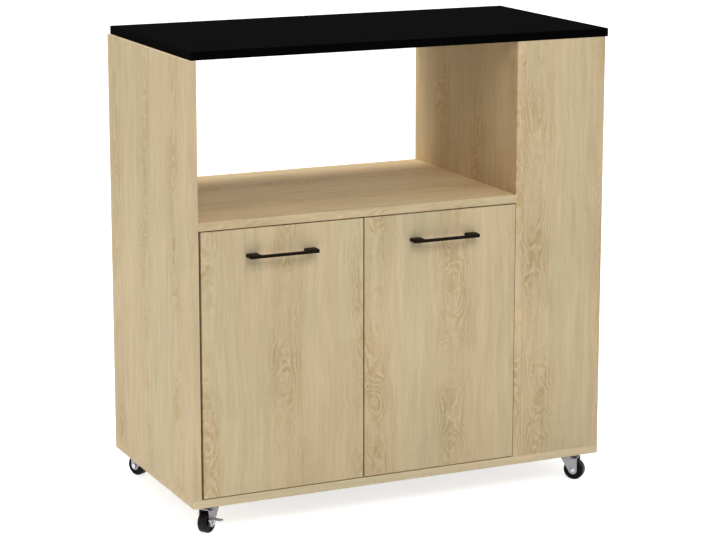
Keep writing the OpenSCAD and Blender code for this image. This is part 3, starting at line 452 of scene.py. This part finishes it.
def handleRings(length, reach, tall):
    # One half of a bow handle, from its left end to its middle: each ring's place along X, how
    # far its section is drawn in, its front and back from the front plane, and its top. The
    # front follows a quarter circle at the end. The back lies on the door along the foot, drops
    # to the grip's depth at the foot's inner side, and reaches it by a quarter circle. The top
    # sinks from the foot to the grip by half a cosine wave.
    edge, corner, fillet = handle["edge"], handle["outerCorner"], handle["innerFillet"]
    foot, lead = handle["footLength"], handle["sinkLead"]
    turn = np.linspace(0, math.pi / 2, handle["arcSteps"])
    rim = edge * (1 - np.sin(turn))
    rimAt = edge * (1 - np.cos(turn))
    cornerAt = corner * (1 - np.cos(turn[1:]))
    cornerAt = cornerAt[cornerAt > edge]
    pastFoot = edge * 0.2                                    # keeps the foot's inner side upright
    filletAt = foot + pastFoot + fillet * (1 - np.cos(turn))
    place = np.concatenate([rimAt, cornerAt, [foot - lead, foot], filletAt, [length / 2]])
    inset = np.concatenate([rim, np.zeros(len(place) - len(rim))])
    front = quarterDip(corner, corner - place)
    grip = handle["gripDepth"] + quarterDip(fillet, filletAt[-1] - place)
    back = np.where(place <= foot, reach, grip)
    sink = np.clip((place - foot + lead) / handle["sinkLength"], 0, 1)
    top = tall - (tall - handle["gripHeight"]) * (1 - np.cos(math.pi * sink)) / 2
    return place, inset, front, back, top


def makeHandle(name, node, body):
    # A bow handle: a rounded rectangle carried along X, its right half the left one turned round
    low, high = (np.array(corner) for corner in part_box(node))
    length, reach, tall = high - low
    place, *rest = handleRings(length, reach, tall)
    place = np.concatenate([place, length - place[-2::-1]])
    inset, front, back, top = (np.concatenate([half, half[-2::-1]]) for half in rest)
    steps, edge = handle["edgeSteps"], handle["edge"]
    angle = np.concatenate([np.linspace(start, start + math.pi / 2, steps)
                            for start in np.arange(4) * math.pi / 2])
    side = np.repeat([[1, 1], [-1, 1], [-1, -1], [1, -1]], steps, axis=0)
    bevel = np.maximum(edge - inset, edge * 0.05)[:, None, None]
    middle = np.stack([(front + back) / 2, top / 2], axis=-1)[:, None, :]
    reachOut = np.stack([(back - front) / 2 - inset, top / 2 - inset], axis=-1)[:, None, :]
    ring = middle + side * (reachOut - bevel)
    ring = ring + bevel * np.stack([np.cos(angle), np.sin(angle)], axis=-1)

    # The rings' points, then one in the middle of each end
    rows, count = ring.shape[:2]
    points = np.empty((rows * count + 2, 3))
    points[:-2, 0] = low[0] + np.repeat(place, count)
    points[:-2, 1] = low[1] + ring[..., 0].ravel()
    points[:-2, 2] = low[2] + ring[..., 1].ravel()
    points[-2] = [low[0], *(low[1:] + middle[0, 0])]
    points[-1] = [high[0], *(low[1:] + middle[-1, 0])]
    i, j = np.meshgrid(np.arange(rows - 1) * count, np.arange(count), indexing="ij")
    k = (j + 1) % count
    walls = np.stack([i + j, i + k, i + count + k, i + count + j], axis=-1)
    here = np.arange(count)
    there = (here + 1) % count
    last = (rows - 1) * count
    caps = np.concatenate([
        np.stack([np.full(count, rows * count), there, here], axis=-1),
        np.stack([np.full(count, rows * count + 1), last + here, last + there], axis=-1)])

    mesh = bpy.data.meshes.new(name)
    mesh.from_pydata(points.tolist(), [], walls.reshape(-1, 4).tolist() + caps.tolist())
    mesh.shade_smooth()
    mesh.set_sharp_from_angle(angle=math.radians(handle["sharpAngle"]))
    mesh.materials.append(finishes["handle"])
    piece = bpy.data.objects.new(name, mesh)
    bpy.context.scene.collection.objects.link(piece)
    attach(piece, body)
    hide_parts(node)


for side in ("left", "right"):
    makeHandle(f"bow_handle_{side}", f"handle_{side}", f"door_{side}")
print("handles made")


studio = {
    "floorSize": 60.0,
    "floorColour": (0.80, 0.80, 0.80, 1),
    "floorGlow": 0.72,          # seen, but lights nothing
    "horizonLight": 0.28,
    "zenithLight": 0.85,
    "backdropLight": 0.25,      # from behind, near the horizon
    "lamps": {                  # power in watts, width in metres, place
        "key": (117.0, 2.8, (-0.8, -4.3, 4.3)),
        "side": (18.5, 0.7, (-4.4, 0.60, 1.25)),
        "back": (115.0, 1.4, (-1.0, 0.98, 4.7)),
    },
    "aim": (0.0, 0.0, 0.45),    # where the lamps point
}


def raySeen(pen):
    # 1 for camera, glossy and transmission rays, 0 for the rays that light things
    kinds = ("Is Camera Ray", "Is Glossy Ray", "Is Transmission Ray")
    camera, glossy, through = (pen.add("ShaderNodeLightPath", None, None, kind) for kind in kinds)
    return camera.most(glossy).most(through)


def makeFloor():
    half = studio["floorSize"] / 2
    corners = [(-half, -half, 0), (half, -half, 0), (half, half, 0), (-half, half, 0)]
    mesh = bpy.data.meshes.new("floor")
    mesh.from_pydata(corners, [], [(0, 1, 2, 3)])
    floor = bpy.data.objects.new("floor", mesh)
    bpy.context.scene.collection.objects.link(floor)
    material, pen, shader = startMaterial("studio floor")
    plug(shader, Base_Color=studio["floorColour"], Roughness=0.9, Specular_IOR_Level=0.0,
         Emission_Color=(1, 1, 1, 1), Emission_Strength=raySeen(pen) * studio["floorGlow"])
    mesh.materials.append(material)


def makeWorld():
    # A sky that is brighter overhead and a little brighter behind, plain white where it is seen
    world = bpy.data.worlds.new("studio")
    bpy.context.scene.world = world
    world.use_nodes = True
    tree = world.node_tree
    pen = Wire(tree)
    seen = raySeen(pen)
    toBack, toTop = pen.coordinates("Generated")[1:]
    height = toTop.step(0.0, 0.9)
    behind = toBack.step(0.0, 0.9) * (1 - height)
    sky = height * (studio["zenithLight"] - studio["horizonLight"]) + studio["horizonLight"]
    sky = sky + behind * studio["backdropLight"]
    background = tree.nodes["Background"]
    background.inputs["Color"].default_value = (1, 1, 1, 1)
    tree.links.new((seen + (1 - seen) * sky).socket, background.inputs["Strength"])


def makeLamp(name, power, width, place):
    lamp = bpy.data.lights.new(name, "AREA")
    lamp.shape = "DISK"
    lamp.size = width
    lamp.energy = power
    holder = bpy.data.objects.new(name, lamp)
    bpy.context.scene.collection.objects.link(holder)
    holder.location = place
    toAim = Vector(studio["aim"]) - Vector(place)
    holder.rotation_euler = toAim.to_track_quat("-Z", "Y").to_euler()


makeFloor()
makeWorld()
for lampName, (power, width, place) in studio["lamps"].items():
    makeLamp(lampName, power, width, place)
print("floor, sky and lamps made")


viewpoint = {
    "place": (-1.76956, -3.82764, 1.34468),
    "yaw": 0.4325,              # radians from +Y towards +X
    "pitch": 0.1976,            # radians below the horizon
    "pictureWidth": 716,        # in pixels
    "focal": 2355.4,            # in those pixels
    "shiftUp": -55,             # in those pixels
    "sensorWidth": 36,          # in millimetres
    "nearest": 0.05,
    "farthest": 100,
}


def makeCamera():
    camera = bpy.data.cameras.new("camera")
    camera.sensor_width = viewpoint["sensorWidth"]
    camera.lens = viewpoint["focal"] / viewpoint["pictureWidth"] * viewpoint["sensorWidth"]
    camera.shift_y = viewpoint["shiftUp"] / viewpoint["pictureWidth"]
    camera.clip_start = viewpoint["nearest"]
    camera.clip_end = viewpoint["farthest"]
    holder = bpy.data.objects.new("camera", camera)
    bpy.context.scene.collection.objects.link(holder)
    holder.location = viewpoint["place"]
    holder.rotation_euler = (math.pi / 2 - viewpoint["pitch"], 0, -viewpoint["yaw"])
    bpy.context.scene.camera = holder
    bpy.context.scene.view_settings.view_transform = "Standard"


makeCamera()
print("camera set")
